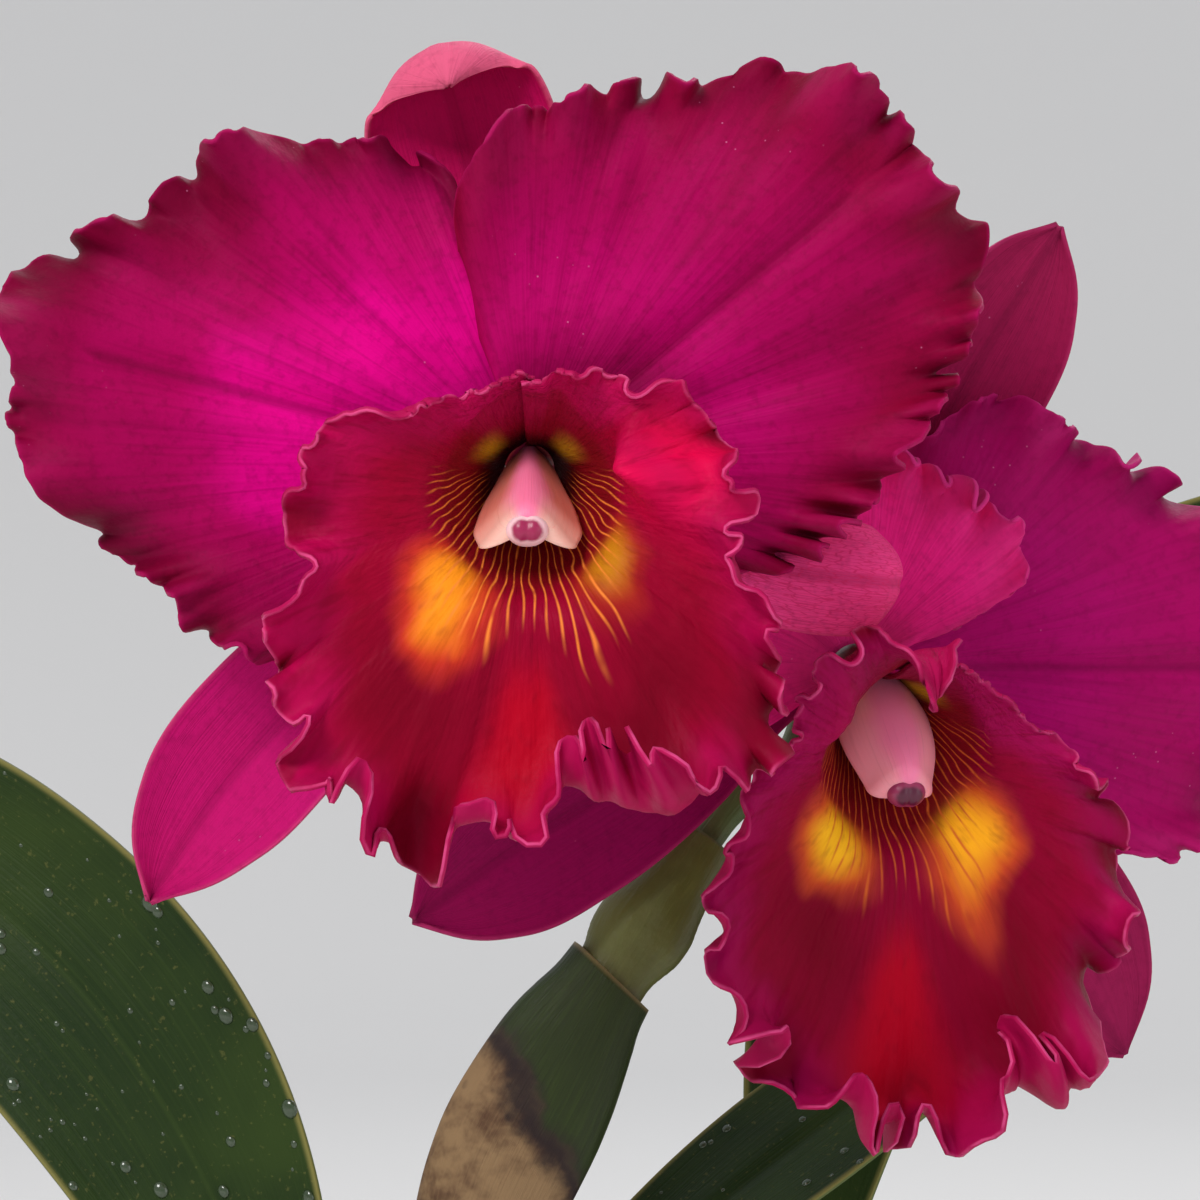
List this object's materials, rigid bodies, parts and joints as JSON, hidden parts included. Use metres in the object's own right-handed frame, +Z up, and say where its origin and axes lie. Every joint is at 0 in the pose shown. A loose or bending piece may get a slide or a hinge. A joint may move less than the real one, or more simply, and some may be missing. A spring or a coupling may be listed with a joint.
{
  "type": "cattleya orchid",
  "caption": "Potted cattleya orchid in flower: ruffled blooms on a sheathed stem above leafy pseudobulbs, in bark in a plain round pot.",
  "frame": {"origin": "centre of the pot's underside", "axes": "+Z up the plant; the blooms face -Y"},
  "size_m": [0.3026, 0.1719, 0.4619],
  "materials": {
    "clay": "matt fired clay",
    "bark": "rough bark",
    "rhizome": "dry scales over a woody stem",
    "bulb_green": "satin skin",
    "leaf_green": "waxy gloss",
    "stem_green": "satin skin",
    "sheath": "dry and papery, green at its top",
    "petal_magenta": "velvety, with fine veins",
    "sepal_pink": "satin, with fine veins",
    "lip_crimson": "velvety, crimson with yellow flares",
    "column_pink": "waxy",
    "anther_white": "waxy"
  },
  "bodies": {
    "root": {"pot": "clay", "bark": "bark", "rhizome": "rhizome", "pseudobulb_flowering": "bulb_green", "pseudobulb_left": "bulb_green", "pseudobulb_right": "bulb_green", "pseudobulb_old": "bulb_green", "leaf_left": "leaf_green", "leaf_flowering": "leaf_green", "leaf_right": "leaf_green", "flower_stem": "stem_green", "sheath": "sheath", "stem_bract": "stem_green", "a_pedicel": "stem_green", "a_bract": "stem_green", "a_column": "column_pink", "a_anther": "anther_white", "a_lip": "lip_crimson", "a_sepal_dorsal": "sepal_pink", "a_sepal_left": "sepal_pink", "a_sepal_right": "sepal_pink", "a_petal_left": "petal_magenta", "a_petal_right": "petal_magenta", "b_pedicel": "stem_green", "b_bract": "stem_green", "b_column": "column_pink", "b_anther": "anther_white", "b_lip": "lip_crimson", "b_sepal_dorsal": "sepal_pink", "b_sepal_left": "sepal_pink", "b_sepal_right": "sepal_pink", "b_petal_left": "petal_magenta", "b_petal_right": "petal_magenta"}
  },
  "joints": []
}
